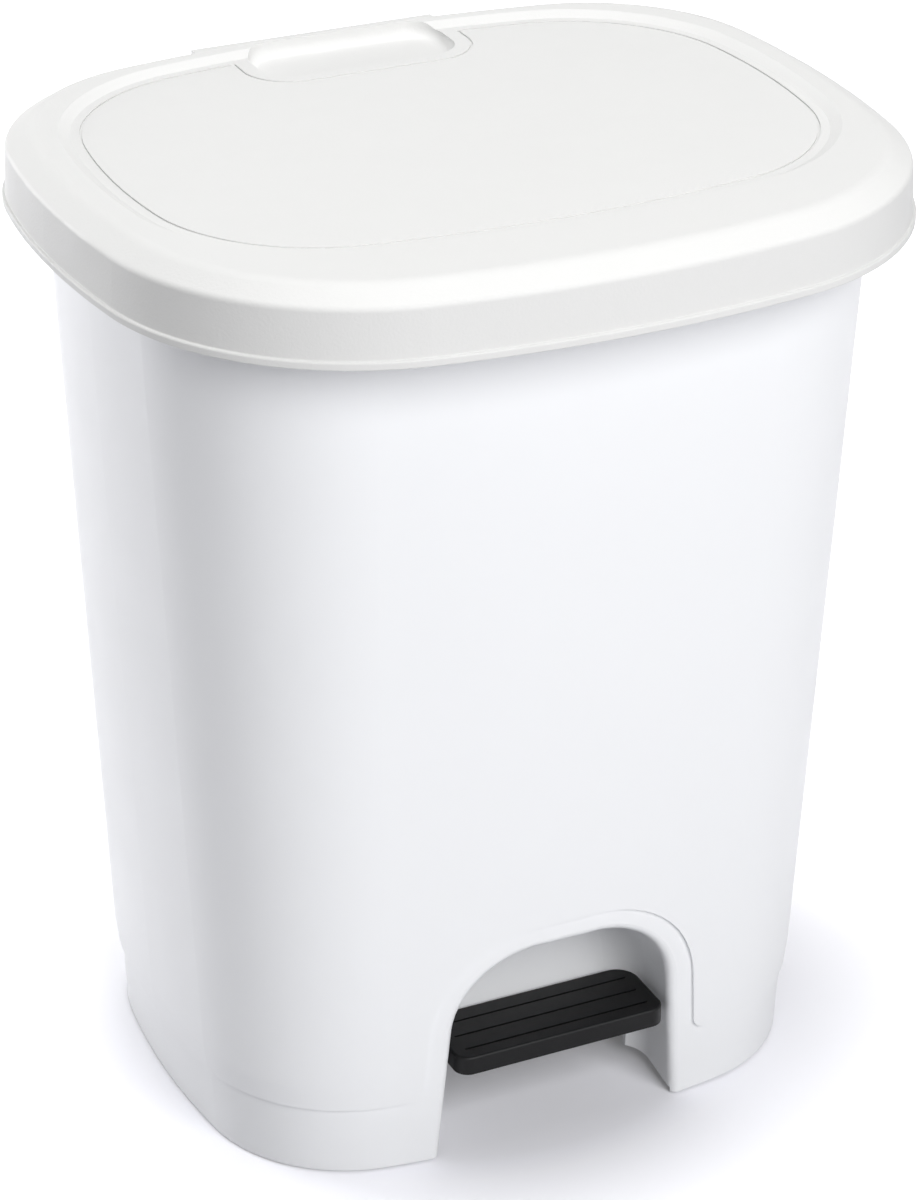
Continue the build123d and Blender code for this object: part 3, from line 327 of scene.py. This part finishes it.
def moulded(name, hex_colour, ior, rough, clouds, grain=None, sheen=0.5):
    """A moulding; clouds are a size in mm and a spread of colour, grain is a size and a depth in mm."""
    material, tree, shader, place = new_material(name, {"IOR": ior, "Specular IOR Level": sheen})
    clouded(tree, shader, place, linear(hex_colour), *clouds)
    polished(tree, shader, place, rough, ROUGH_WANDER * rough, PATCH_SHARE * clouds[0])
    if grain:
        grained(tree, shader, place, *grain)
    return material


def drawn_steel(name, hex_colour):
    """Fine upright streaks, which run along the push rod and round the cross pins, and a slight oil bloom."""
    material, tree, shader, place = new_material(name, {"Metallic": 1.0})
    along = add(tree, "ShaderNodeMapping", {"Vector": place, "Scale": STREAKS})
    clouded(tree, shader, along, linear(hex_colour), size_mm=1.2, spread=0.1)
    polished(tree, shader, place, rough=0.36, wander=0.06, size_mm=5.0)
    grained(tree, shader, along, size_mm=1.2, depth_mm=0.01)
    return material


def zinc_plate(name, hex_colour):
    """A cool bright metal with small spangled clouds."""
    material, tree, shader, place = new_material(name, {"Metallic": 1.0})
    clouded(tree, shader, place, linear(hex_colour), size_mm=0.8, spread=0.12)
    polished(tree, shader, place, rough=0.39, wander=0.08, size_mm=1.5)
    grained(tree, shader, place, size_mm=0.5, depth_mm=0.01)
    return material


def make_finishes():
    """One material for each of the record's slots, under the slot's name."""
    colours = settings().colours
    return {
        # Polypropylene from a polished mould: smooth, with a soft sheen that wanders slightly
        "white_body": moulded("polypropylene_white_semi_gloss", colours.body, POLYPROPYLENE_IOR,
                              rough=0.36, clouds=(80.0, 0.008)),
        # Polypropylene from an etched mould: matt satin, with a grain that scatters the light;
        # the real grain is about 0.4 mm and is drawn at 1.2 mm so that it shows
        "white_lid": moulded("polypropylene_white_satin", colours.lid, POLYPROPYLENE_IOR,
                             rough=0.5, clouds=(40.0, 0.008), grain=(1.2, 0.1), sheen=0.2),
        # Moulded nylon: a dull satin with slight clouding; like that of all the small pieces below,
        # its grain is drawn coarser than it is so that it shows
        "white_fitting": moulded("nylon_white_satin", colours.fitting, NYLON_IOR,
                                 rough=0.42, clouds=(9.0, 0.03), grain=(0.8, 0.02)),
        "grey_nylon": moulded("nylon_grey_satin", colours.nylon, NYLON_IOR,
                              rough=0.45, clouds=(9.0, 0.05), grain=(0.8, 0.02)),
        # Black moulded polypropylene: satin, with greyer rubbed clouds
        "black_tread": moulded("polypropylene_black_satin", colours.tread, POLYPROPYLENE_IOR,
                               rough=0.4, clouds=(14.0, 0.2), grain=(0.9, 0.02), sheen=0.2),
        # Glass-filled nylon: matt, with a rough mottled skin
        "black_lever": moulded("glass_filled_nylon_black", colours.lever, NYLON_IOR,
                               rough=0.55, clouds=(10.0, 0.2), grain=(1.2, 0.03), sheen=0.3),
        # Moulded rubber: matt, with a soft mottled bloom
        "rubber": moulded("rubber_black_matt", colours.rubber, RUBBER_IOR,
                          rough=0.7, clouds=(2.5, 0.25), grain=(0.6, 0.02)),
        "soft_bumper": moulded("rubber_pale_matt", colours.bumper, RUBBER_IOR,
                               rough=0.62, clouds=(2.5, 0.06), grain=(0.6, 0.02)),
        # Drawn steel bar: bright, with fine streaks
        "bright_steel": drawn_steel("steel_drawn_bright", colours.steel),
        # Zinc-plated steel: cool and lightly spangled
        "zinc_screw": zinc_plate("steel_zinc_plated", colours.zinc),
    }


def finishes():
    """The materials, made once."""
    if not FINISHES:
        FINISHES.update(make_finishes())
    return FINISHES


def node_slots():
    """The record's material slot of each node."""
    return {row["node"]: row["material_slot"] for row in frame["record"]["subparts"]}


def dress(*names):
    """Gives CAD nodes the finish of their slots."""
    slots = node_slots()
    for name in names:
        node = frame["nodes"][name]
        for place in node.material_slots:
            place.material = finishes()[slots[name]]


# Repeated pieces, made with geometry nodes

def new_tree(name, inputs):
    """A geometry tree with named inputs; gives the tree and its input sockets."""
    tree = bpy.data.node_groups.new(name, "GeometryNodeTree")
    tree.interface.new_socket("Geometry", in_out="INPUT", socket_type="NodeSocketGeometry")
    tree.interface.new_socket("Geometry", in_out="OUTPUT", socket_type="NodeSocketGeometry")
    for label, kind in inputs.items():
        tree.interface.new_socket(label, in_out="INPUT", socket_type=kind)
    return tree, add(tree, "NodeGroupInput").outputs


def moved(tree, geometry, height, share):
    """The geometry moved along Z by a share of a height."""
    rise = add(tree, "ShaderNodeMath", {0: height, 1: share}, operation="MULTIPLY")
    offset = add(tree, "ShaderNodeCombineXYZ", {"Z": rise})
    return add(tree, "GeometryNodeTransform", {"Geometry": geometry, "Translation": offset})


def round_pad(tree, sides, radius, height, edge, power):
    """A round pad that stands on Z nought, whose upper face falls by edge towards its rim."""
    pad = add(tree, "GeometryNodeMeshCylinder", {"Vertices": sides, "Side Segments": PAD_BANDS,
                                                 "Fill Segments": PAD_RINGS, "Radius": radius,
                                                 "Depth": height}).outputs["Mesh"]
    place = add(tree, "GeometryNodeInputPosition")
    axes = add(tree, "ShaderNodeSeparateXYZ", {"Vector": place}).outputs
    flat = add(tree, "ShaderNodeCombineXYZ", {"X": axes["X"], "Y": axes["Y"]})
    reach = add(tree, "ShaderNodeVectorMath", {0: flat}, operation="LENGTH").outputs["Value"]
    share = add(tree, "ShaderNodeMath", {0: reach, 1: radius}, operation="DIVIDE")
    steep = add(tree, "ShaderNodeMath", {0: share, 1: power}, operation="POWER")
    fall = add(tree, "ShaderNodeMath", {0: steep, 1: edge}, operation="MULTIPLY")
    down = add(tree, "ShaderNodeMath", {0: fall, 1: -1.0}, operation="MULTIPLY")
    offset = add(tree, "ShaderNodeCombineXYZ", {"Z": down})
    upper = add(tree, "FunctionNodeCompare", {0: axes["Z"], 1: 0.0}, operation="GREATER_THAN")
    domed = add(tree, "GeometryNodeSetPosition", {"Geometry": pad, "Selection": upper, "Offset": offset})
    return moved(tree, domed, height, 0.5)


def round_bar(tree, sides, radius, length):
    """A plain round bar that hangs below Z nought."""
    bar = add(tree, "GeometryNodeMeshCylinder", {"Vertices": sides, "Radius": radius, "Depth": length})
    return moved(tree, bar.outputs["Mesh"], length, -0.5)


def cross_recess(tree, radius, height):
    """Two crossed bars, half sunk in the top of a screw head, that cut the driver's recess."""
    length = add(tree, "ShaderNodeMath", {0: radius, 1: RECESS_LENGTH}, operation="MULTIPLY")
    width = add(tree, "ShaderNodeMath", {0: radius, 1: RECESS_WIDTH}, operation="MULTIPLY")
    depth = add(tree, "ShaderNodeMath", {0: height, 1: RECESS_DEPTH}, operation="MULTIPLY")
    both = add(tree, "GeometryNodeJoinGeometry")
    for x, y in ((length, width), (width, length)):
        size = add(tree, "ShaderNodeCombineXYZ", {"X": x, "Y": y, "Z": depth})
        link(tree, add(tree, "GeometryNodeMeshCube", {"Size": size}), both.inputs["Geometry"])
    return moved(tree, both, height, 1.0)


def screw_thread(tree, core, ridge, length, pitch):
    """The screw's thread: a thin ridge that winds down the shank."""
    turns = add(tree, "ShaderNodeMath", {0: length, 1: pitch}, operation="DIVIDE")
    coil = add(tree, "GeometryNodeCurveSpiral", {"Resolution": THREAD_STEPS, "Rotations": turns,
                                                 "Start Radius": core, "End Radius": core, "Height": length})
    section = add(tree, "GeometryNodeCurvePrimitiveCircle", {"Resolution": THREAD_SIDES, "Radius": ridge})
    wound = add(tree, "GeometryNodeCurveToMesh", {"Curve": coil, "Profile Curve": section, "Fill Caps": True})
    return moved(tree, wound, length, -1.0)


def set_out(tree, sockets, pieces):
    """Joins the pieces, sets them on the points, and ends the tree as plain mesh with its material."""
    whole = add(tree, "GeometryNodeJoinGeometry")
    for piece in pieces:
        link(tree, piece, whole.inputs["Geometry"])
    copies = add(tree, "GeometryNodeInstanceOnPoints", {"Points": sockets["Geometry"], "Instance": whole,
                                                        "Rotation": sockets["Turn"]})
    real = add(tree, "GeometryNodeRealizeInstances", {"Geometry": copies})
    painted = add(tree, "GeometryNodeSetMaterial", {"Geometry": real, "Material": sockets["Material"]})
    add(tree, "NodeGroupOutput", {"Geometry": painted})


def screw_tree():
    """A pan-head screw with a cross recess and a thread, set on each point."""
    tree, sockets = new_tree("pan_head_screw", {
        "Head radius": "NodeSocketFloat", "Head height": "NodeSocketFloat", "Shank radius": "NodeSocketFloat",
        "Length": "NodeSocketFloat", "Pitch": "NodeSocketFloat", "Sides": "NodeSocketInt",
        "Turn": "NodeSocketVector", "Material": "NodeSocketMaterial"})
    radius, height, length = sockets["Head radius"], sockets["Head height"], sockets["Length"]
    fall = add(tree, "ShaderNodeMath", {0: height, 1: CROWN_FALL}, operation="MULTIPLY")
    head = round_pad(tree, sockets["Sides"], radius, height, fall, CROWN_POWER)
    cut = add(tree, "GeometryNodeMeshBoolean", operation="DIFFERENCE", solver="EXACT")
    cut.inputs["Self Intersection"].default_value = True
    link(tree, head, cut.inputs["Mesh 1"])
    link(tree, cross_recess(tree, radius, height), cut.inputs["Mesh 2"])
    core = add(tree, "ShaderNodeMath", {0: sockets["Shank radius"], 1: THREAD_CORE}, operation="MULTIPLY")
    ridge = add(tree, "ShaderNodeMath", {0: sockets["Shank radius"], 1: THREAD_RIDGE}, operation="MULTIPLY")
    shank = round_bar(tree, sockets["Sides"], core, length)
    set_out(tree, sockets, [cut, shank, screw_thread(tree, core, ridge, length, sockets["Pitch"])])
    return tree


def pad_tree():
    """A round pad with a rounded edge and a stem, set on each point."""
    tree, sockets = new_tree("round_pad", {
        "Radius": "NodeSocketFloat", "Height": "NodeSocketFloat", "Edge": "NodeSocketFloat",
        "Stem radius": "NodeSocketFloat", "Stem length": "NodeSocketFloat", "Sides": "NodeSocketInt",
        "Turn": "NodeSocketVector", "Material": "NodeSocketMaterial"})
    pad = round_pad(tree, sockets["Sides"], sockets["Radius"], sockets["Height"], sockets["Edge"], PAD_POWER)
    stem = round_bar(tree, sockets["Sides"], sockets["Stem radius"], sockets["Stem length"])
    set_out(tree, sockets, [pad, stem])
    return tree


def set_on_points(name, tree, points, values, body, node):
    """Runs a tree on points, keeps the result as a plain mesh, and lets it stand for a CAD node."""
    mesh = bpy.data.meshes.new(name + "_points")
    mesh.from_pydata(points, [], [])
    piece = new_object(name, mesh)
    modifier = piece.modifiers.new(name, "NODES")
    modifier.node_group = tree
    for item in tree.interface.items_tree:
        if item.in_out == "INPUT" and item.name in values:
            modifier[item.identifier] = values[item.name]
    bpy.context.view_layer.update()
    graph = bpy.context.evaluated_depsgraph_get()
    made = bpy.data.meshes.new_from_object(piece.evaluated_get(graph), depsgraph=graph)
    piece.modifiers.remove(modifier)
    piece.data = made
    bpy.data.meshes.remove(mesh)
    if not made.polygons:
        raise RuntimeError(f"{name} came out empty")
    made.polygons.foreach_set("use_smooth", [True] * len(made.polygons))
    made.set_sharp_from_angle(angle=SHARP_ANGLE)
    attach(piece, body)
    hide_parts(node)


def spots(low, high, radius):
    """The one or two places along an axis where round pieces of that radius fill the span."""
    if high - low < 3 * radius:
        return [(low + high) / 2]
    return [low + radius, high - radius]


def screw_points(node, way, sizes):
    """Where the heads of a set of screws sit on their work, and how long the whole screws are."""
    low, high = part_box(node)
    xs = spots(low.x, high.x, sizes.head_radius)
    if way == "+Y":
        zs = spots(low.z, high.z, sizes.head_radius)
        return [(x, high.y - sizes.head_height, z) for x in xs for z in zs], high.y - low.y
    ys = spots(low.y, high.y, sizes.head_radius)
    return [(x, y, low.z + sizes.head_height) for x in xs for y in ys], high.z - low.z


def hang_pads(name, tree, seat, values, body, node):
    """Hangs pads under a seat, at the corners of the CAD node that they stand for."""
    low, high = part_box(node)
    xs = spots(low.x, high.x, values["Radius"])
    ys = spots(low.y, high.y, values["Radius"])
    points = [(x, y, seat) for x in xs for y in ys]
    hanging = {"Sides": settings().sizes.sides, "Turn": HEAD_TURNS["-Z"]}
    set_on_points(name, tree, points, {**values, **hanging}, body, node)


# Operators, one for each piece or group of like pieces

class TRASHCAN_OT_mouldings(bpy.types.Operator):
    """Finish the tub, the lid and the pedal"""

    bl_idname = "trashcan.mouldings"
    bl_label = "Tub, lid and pedal"

    def execute(self, context):
        dress(*MOULDINGS)
        return {"FINISHED"}


class TRASHCAN_OT_fittings(bpy.types.Operator):
    """Finish the hinge, crank, bearings, guides, rod and axle"""

    bl_idname = "trashcan.fittings"
    bl_label = "Hinge, rod and lever fittings"

    def execute(self, context):
        others = {*MOULDINGS, *SCREW_SETS, "rubber_feet", "lid_bumpers"}
        dress(*(name for name in frame["nodes"] if name not in others))
        return {"FINISHED"}


class TRASHCAN_OT_screws(bpy.types.Operator):
    """Make the pan-head screws"""

    bl_idname = "trashcan.screws"
    bl_label = "Screws"

    def execute(self, context):
        sizes = settings().sizes
        tree = screw_tree()
        alike = {"Head radius": sizes.head_radius, "Head height": sizes.head_height,
                 "Shank radius": sizes.shank_radius, "Pitch": sizes.thread_pitch, "Sides": sizes.sides,
                 "Material": finishes()["zinc_screw"]}
        for node, (body, way) in SCREW_SETS.items():
            points, whole_length = screw_points(node, way, sizes)
            values = {**alike, "Length": whole_length - sizes.head_height, "Turn": HEAD_TURNS[way]}
            set_on_points("pan_head_" + node, tree, points, values, body, node)
        return {"FINISHED"}


class TRASHCAN_OT_pads(bpy.types.Operator):
    """Make the rubber feet and the lid's soft bumpers"""

    bl_idname = "trashcan.pads"
    bl_label = "Feet and bumpers"

    def execute(self, context):
        sizes = settings().sizes
        tree = pad_tree()
        low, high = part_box("rubber_feet")
        foot = {"Radius": sizes.foot_radius, "Height": sizes.foot_height, "Edge": sizes.foot_edge,
                "Stem radius": sizes.foot_stem, "Stem length": high.z - low.z - sizes.foot_height,
                "Material": finishes()["rubber"]}
        hang_pads("moulded_feet", tree, low.z + sizes.foot_height, foot, "can_body", "rubber_feet")
        low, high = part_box("lid_bumpers")
        bumper = {"Radius": sizes.bumper_radius, "Height": high.z - low.z, "Edge": sizes.bumper_edge,
                  "Stem radius": BUMPER_STEM * sizes.bumper_radius, "Stem length": sizes.bumper_stem,
                  "Material": finishes()["soft_bumper"]}
        hang_pads("soft_bumpers", tree, high.z, bumper, "lid_body", "lid_bumpers")
        return {"FINISHED"}


# Stage

def stand(thing, middle, azimuth, elevation, distance):
    """Stands a camera or lamp off to one side of a point, facing it."""
    back = Vector((sin(azimuth) * cos(elevation), -cos(azimuth) * cos(elevation), sin(elevation)))
    thing.location = middle + back * distance
    thing.rotation_euler = (-back).to_track_quat("-Z", "Y").to_euler()


def add_camera(stage):
    """The camera at the photograph's angle."""
    data = bpy.data.cameras.new("camera")
    camera = new_object("camera", data)
    stand(camera, Vector(stage.target), stage.azimuth, stage.elevation, stage.distance)
    data.sensor_width = SENSOR
    data.lens = stage.focal_pixels / PHOTO_HEIGHT * SENSOR
    data.shift_x = -stage.shift_pixels[0] / PHOTO_HEIGHT
    data.shift_y = -stage.shift_pixels[1] / PHOTO_HEIGHT
    data.clip_start = CLIP_START
    bpy.context.scene.camera = camera


def add_softbox(name, azimuth, elevation, distance, width, height, watts):
    """A soft rectangular lamp that faces the can."""
    data = bpy.data.lights.new(name, "AREA")
    data.shape = "RECTANGLE"
    data.size = width
    data.size_y = height
    data.energy = watts
    lamp = new_object(name, data)
    stand(lamp, (CAD_LOW + CAD_HIGH) / 2, radians(azimuth), radians(elevation), distance)
    lamp.visible_camera = False


def seen_by_eye(tree):
    """One for rays from the camera, off a shiny surface or through a clear one, and nought for other rays."""
    path = add(tree, "ShaderNodeLightPath").outputs
    straight = add(tree, "ShaderNodeMath", {0: path["Is Camera Ray"], 1: path["Is Glossy Ray"]},
                   operation="MAXIMUM")
    return add(tree, "ShaderNodeMath", {0: straight, 1: path["Is Transmission Ray"]}, operation="MAXIMUM")


def light_world(stage):
    """Even light from all round, which the eye sees as plain white."""
    world = bpy.data.worlds.new("studio")
    bpy.context.scene.world = world
    tree = empty_tree(world)
    dim = add(tree, "ShaderNodeBackground", {"Color": WHITE, "Strength": stage.ambient})
    white = add(tree, "ShaderNodeBackground", {"Color": WHITE, "Strength": 1.0})
    mixed = add(tree, "ShaderNodeMixShader", {0: seen_by_eye(tree), 1: dim, 2: white})
    add(tree, "ShaderNodeOutputWorld", {"Surface": mixed})


def floor_glow(tree, stage):
    """White that only the eye sees; it grows outwards, so that the shadow at the can's foot stays deep."""
    low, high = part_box("tub")
    middle = (low + high) / 2
    reach = 0.5 * (high - low)
    place = add(tree, "ShaderNodeTexCoord").outputs["Object"]
    offset = add(tree, "ShaderNodeVectorMath", {0: place, 1: (middle.x, middle.y, 0.0)}, operation="SUBTRACT")
    share = add(tree, "ShaderNodeVectorMath", {0: offset, 1: (reach.x, reach.y, 1.0)}, operation="DIVIDE")
    away = add(tree, "ShaderNodeVectorMath", {0: share}, operation="LENGTH").outputs["Value"]
    near = add(tree, "ShaderNodeMapRange", {"Value": away, "From Min": NEAR_GLOW[0], "From Max": NEAR_GLOW[1],
                                            "To Min": stage.foot_glow, "To Max": stage.floor_glow})
    far = add(tree, "ShaderNodeMapRange", {"Value": away, "From Min": FAR_GLOW[0], "From Max": FAR_GLOW[1],
                                           "To Min": 0.0, "To Max": 1.0 - stage.floor_glow})
    glow = add(tree, "ShaderNodeMath", {0: near, 1: far}, operation="ADD")
    return add(tree, "ShaderNodeMath", {0: seen_by_eye(tree), 1: glow}, operation="MULTIPLY")


def paper_material(stage, colours):
    """Matt studio paper, which the eye sees near white and which throws less light back than it seems to."""
    material = bpy.data.materials.new("studio_paper_pale")
    tree = empty_tree(material)
    colour = add(tree, "ShaderNodeMix", {MIX_SHARE: seen_by_eye(tree),
                                         MIX_FIRST: linear(colours.floor_bounce),
                                         MIX_SECOND: linear(colours.floor)}, data_type="RGBA")
    paper = add(tree, "ShaderNodeBsdfDiffuse", {"Color": colour})
    glow = add(tree, "ShaderNodeEmission", {"Color": WHITE, "Strength": floor_glow(tree, stage)})
    both = add(tree, "ShaderNodeAddShader", {0: paper, 1: glow})
    add(tree, "ShaderNodeOutputMaterial", {"Surface": both})
    return material


def add_floor(stage, colours):
    """A wide pale floor that keeps the can's shadow."""
    mesh = bpy.data.meshes.new("floor")
    corners = [(x * FLOOR_HALF, y * FLOOR_HALF, 0) for x, y in ((-1, -1), (1, -1), (1, 1), (-1, 1))]
    mesh.from_pydata(corners, [], [(0, 1, 2, 3)])
    mesh.materials.append(paper_material(stage, colours))
    new_object("floor", mesh)


class TRASHCAN_OT_stage(bpy.types.Operator):
    """Set up the floor, the light and the camera"""

    bl_idname = "trashcan.stage"
    bl_label = "Stage"

    def execute(self, context):
        stage = settings().stage
        add_camera(stage)
        light_world(stage)
        add_floor(stage, settings().colours)
        for name, lamp in SOFTBOXES.items():
            add_softbox(name, **lamp)
        context.scene.view_settings.view_transform = "Standard"
        return {"FINISHED"}


class TRASHCAN_PT_panel(bpy.types.Panel):
    """The trash can's pieces and settings"""

    bl_label = "Pedal trash can"
    bl_idname = "TRASHCAN_PT_panel"
    bl_space_type = "VIEW_3D"
    bl_region_type = "UI"
    bl_category = "Trash can"

    def draw(self, context):
        layout = self.layout
        for operator in OPERATORS:
            layout.operator(operator.bl_idname)
        for group in (settings().colours, settings().sizes, settings().stage):
            box = layout.box()
            for name in group.__annotations__:
                box.prop(group, name)


OPERATORS = (
    TRASHCAN_OT_mouldings,
    TRASHCAN_OT_fittings,
    TRASHCAN_OT_screws,
    TRASHCAN_OT_pads,
    TRASHCAN_OT_stage,
)
CLASSES = (TrashCanColours, TrashCanSizes, TrashCanStage, TrashCanSettings, *OPERATORS, TRASHCAN_PT_panel)


def register():
    """Makes the settings, operators and panel known to Blender."""
    for item in CLASSES:
        bpy.utils.register_class(item)
    bpy.types.Scene.trash_can = PointerProperty(type=TrashCanSettings)


def unregister():
    """Takes them away again."""
    del bpy.types.Scene.trash_can
    for item in reversed(CLASSES):
        bpy.utils.unregister_class(item)


def main():
    """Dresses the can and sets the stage."""
    register()
    bpy.ops.trashcan.mouldings()
    bpy.ops.trashcan.fittings()
    bpy.ops.trashcan.screws()
    bpy.ops.trashcan.pads()
    bpy.ops.trashcan.stage()


if __name__ == "__main__":
    main()
